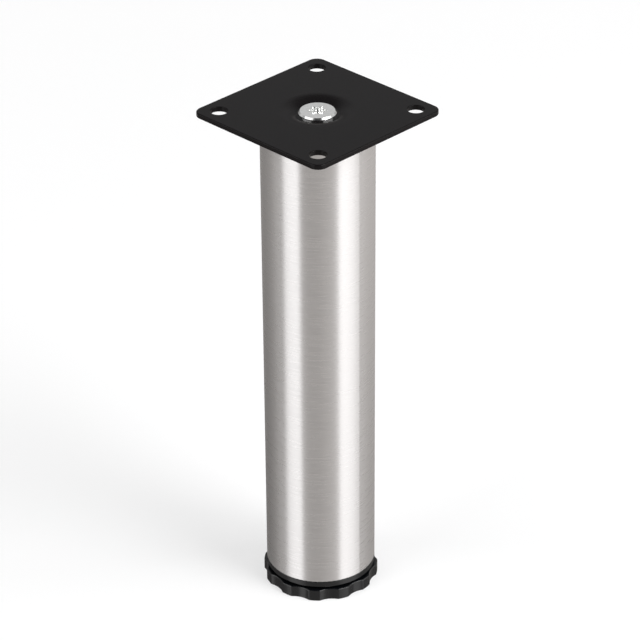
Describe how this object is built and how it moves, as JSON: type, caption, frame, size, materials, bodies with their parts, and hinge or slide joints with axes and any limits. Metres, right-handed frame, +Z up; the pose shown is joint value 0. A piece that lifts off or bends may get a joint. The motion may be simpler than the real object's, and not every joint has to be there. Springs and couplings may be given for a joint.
{
  "type": "furniture leg",
  "caption": "Round brushed-steel furniture leg with a square screw-on mounting plate and a screw-adjustable scalloped foot.",
  "frame": {"origin": "on the floor, on the leg's axis, with the foot screwed right in", "axes": "+Z up along the tube; the mounting plate's sides lie along X and Y"},
  "size_m": [0.064, 0.064, 0.2],
  "materials": {
    "black_powder_coat": "satin black powder coat with a fine grain",
    "brushed_stainless": "brushed round the tube, satin",
    "bright_zinc": "bright zinc plating",
    "black_plastic": "satin moulded black plastic"
  },
  "bodies": {
    "leg": {"mounting_plate": "black_powder_coat", "plate_bolt": "bright_zinc", "tube": "brushed_stainless", "top_plug": "black_plastic", "top_nut": "bright_zinc", "bottom_plug": "black_plastic", "bottom_nut": "bright_zinc"},
    "stud": {"foot_stud": "bright_zinc"},
    "wheel": {"foot_wheel": "black_plastic"}
  },
  "joints": [
    {"name": "foot_travel", "type": "slide", "parent": "leg", "child": "stud", "axis": [0, 0, -1], "range_m": [0, 0.015]},
    {"name": "foot_turn", "type": "hinge", "parent": "stud", "child": "wheel", "pos_m": [0, 0, 0.0045], "axis": [0, 0, -1], "range_deg": [0, 3600]}
  ],
  "couplings": [
    {"joint": "foot_travel", "follows": "foot_turn", "m_per_rad": 0.00023873}
  ]
}
